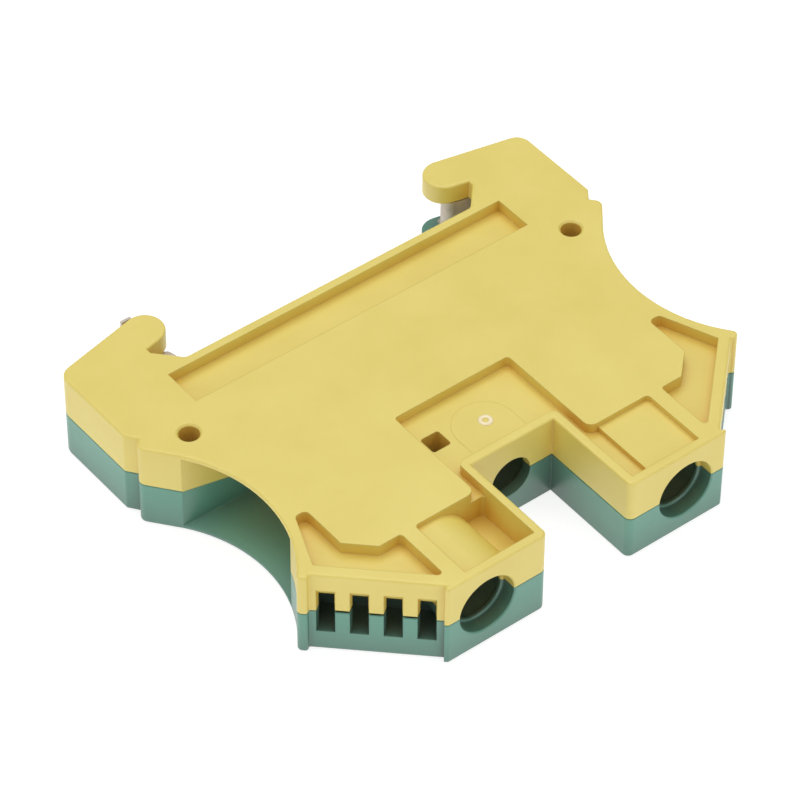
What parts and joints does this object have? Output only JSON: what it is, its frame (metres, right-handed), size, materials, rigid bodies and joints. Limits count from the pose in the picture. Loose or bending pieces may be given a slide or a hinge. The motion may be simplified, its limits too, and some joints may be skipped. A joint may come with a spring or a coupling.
{
  "type": "earth terminal block",
  "caption": "Slim earth terminal block for a top-hat rail: two half shells, wire clamps in round side bays, a current bar and a bent steel rail foot.",
  "frame": {"origin": "under the middle of the block's bounding box, on the plane that its green side lies on", "axes": "+X along the rail's width, +Y towards the rail, +Z from the green half shell to the yellow one, the way blocks are stacked along a rail"},
  "size_m": [0.056, 0.0468, 0.0097],
  "materials": {
    "yellow_plastic": "moulded, satin",
    "green_plastic": "moulded, satin",
    "tinned_copper": "tin plated",
    "plated_steel": "zinc plated",
    "foot_steel": "plated, slightly brown"
  },
  "bodies": {
    "housing": {"yellow_half_shell": "yellow_plastic", "green_half_shell": "green_plastic", "current_bar": "tinned_copper", "bar_rivets": "plated_steel", "fixed_rail_foot": "foot_steel"},
    "left_screw": {"left_clamp_screw": "plated_steel"},
    "left_yoke": {"left_clamping_yoke": "plated_steel"},
    "right_screw": {"right_clamp_screw": "plated_steel"},
    "right_yoke": {"right_clamping_yoke": "plated_steel"},
    "foot_screw": {"rail_screw": "plated_steel"},
    "sliding_foot": {"sliding_rail_foot": "foot_steel"}
  },
  "joints": [
    {"name": "left_screw_turn", "type": "hinge", "parent": "housing", "child": "left_screw", "pos_m": [-0.01183, -0.01535, 0.00485], "axis": [0, 1, 0], "range_deg": [0, 2165]},
    {"name": "left_yoke_slide", "type": "slide", "parent": "housing", "child": "left_yoke", "axis": [0, -1, 0], "range_m": [0, 0.0042]},
    {"name": "right_screw_turn", "type": "hinge", "parent": "housing", "child": "right_screw", "pos_m": [0.01183, -0.01535, 0.00485], "axis": [0, 1, 0], "range_deg": [0, 2165]},
    {"name": "right_yoke_slide", "type": "slide", "parent": "housing", "child": "right_yoke", "axis": [0, -1, 0], "range_m": [0, 0.0042]},
    {"name": "foot_screw_turn", "type": "hinge", "parent": "housing", "child": "foot_screw", "pos_m": [0, -0.00635, 0.00485], "axis": [0, 1, 0], "range_deg": [0, 1445]},
    {"name": "sliding_foot_slide", "type": "slide", "parent": "housing", "child": "sliding_foot", "axis": [0, -1, 0], "range_m": [0, 0.0024]}
  ],
  "couplings": [
    {"joint": "left_screw_turn", "follows": "left_yoke_slide", "rad_per_m": 8976},
    {"joint": "right_screw_turn", "follows": "right_yoke_slide", "rad_per_m": 8976},
    {"joint": "foot_screw_turn", "follows": "sliding_foot_slide", "rad_per_m": 10472}
  ]
}
